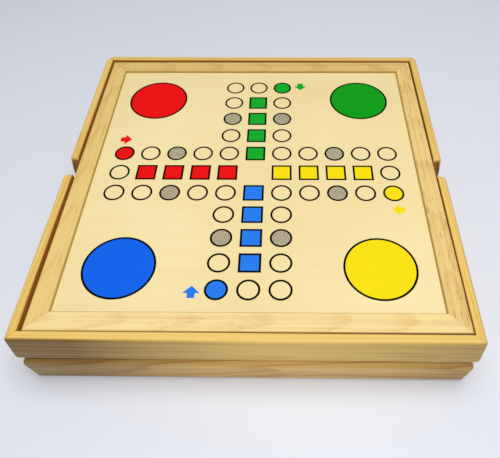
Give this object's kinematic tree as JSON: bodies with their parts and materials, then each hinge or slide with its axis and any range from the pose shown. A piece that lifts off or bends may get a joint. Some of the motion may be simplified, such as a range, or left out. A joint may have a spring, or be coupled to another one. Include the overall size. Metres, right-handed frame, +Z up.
{
  "type": "folding game box",
  "caption": "Square wooden game box of two mitred half trays hinged at the back, with a framed cross-and-circle race board lying loose in its top, lifted by side finger notches.",
  "frame": {"origin": "middle of the underside of the closed box, at the middle of the case walls; the hinge knuckles stand out behind", "axes": "+Z up through the closed box, +Y towards the hinges at the back, +X to the right"},
  "size_m": [0.298, 0.3009, 0.058],
  "materials": {
    "case_wood": "clear satin lacquer over pale pine",
    "plywood": "bare sanded plywood",
    "board_frame": "clear satin lacquer over pale pine",
    "board_face": "lacquered pale plywood with a printed race-game track",
    "brass": "plated, slightly dulled",
    "magnet": "nickel plated"
  },
  "bodies": {
    "lower_half": {"lower_front_wall": "case_wood", "lower_back_wall": "case_wood", "lower_left_wall": "case_wood", "lower_right_wall": "case_wood", "floor_panel": "plywood", "lower_magnets": "magnet", "left_hinge_lower_leaf": "brass", "right_hinge_lower_leaf": "brass", "left_hinge_pin": "brass", "right_hinge_pin": "brass", "lower_hinge_screws": "brass"},
    "upper_half": {"upper_front_wall": "case_wood", "upper_back_wall": "case_wood", "upper_left_wall": "case_wood", "upper_right_wall": "case_wood", "deck_panel": "plywood", "front_ledge": "case_wood", "back_ledge": "case_wood", "left_ledges": "case_wood", "right_ledges": "case_wood", "upper_magnets": "magnet", "left_hinge_upper_leaf": "brass", "right_hinge_upper_leaf": "brass", "upper_hinge_screws": "brass"},
    "game_board": {"board_front_rail": "board_frame", "board_back_rail": "board_frame", "board_left_rail": "board_frame", "board_right_rail": "board_frame", "board_panel": "board_face"}
  },
  "joints": [
    {"name": "case_hinge", "type": "hinge", "parent": "lower_half", "child": "upper_half", "pos_m": [0, 0.1495, 0.029], "axis": [-1, 0, 0], "range_deg": [0, 180]},
    {"name": "board_lift", "type": "slide", "parent": "upper_half", "child": "game_board", "axis": [0, 0, 1], "range_m": [0, 0.15]}
  ]
}
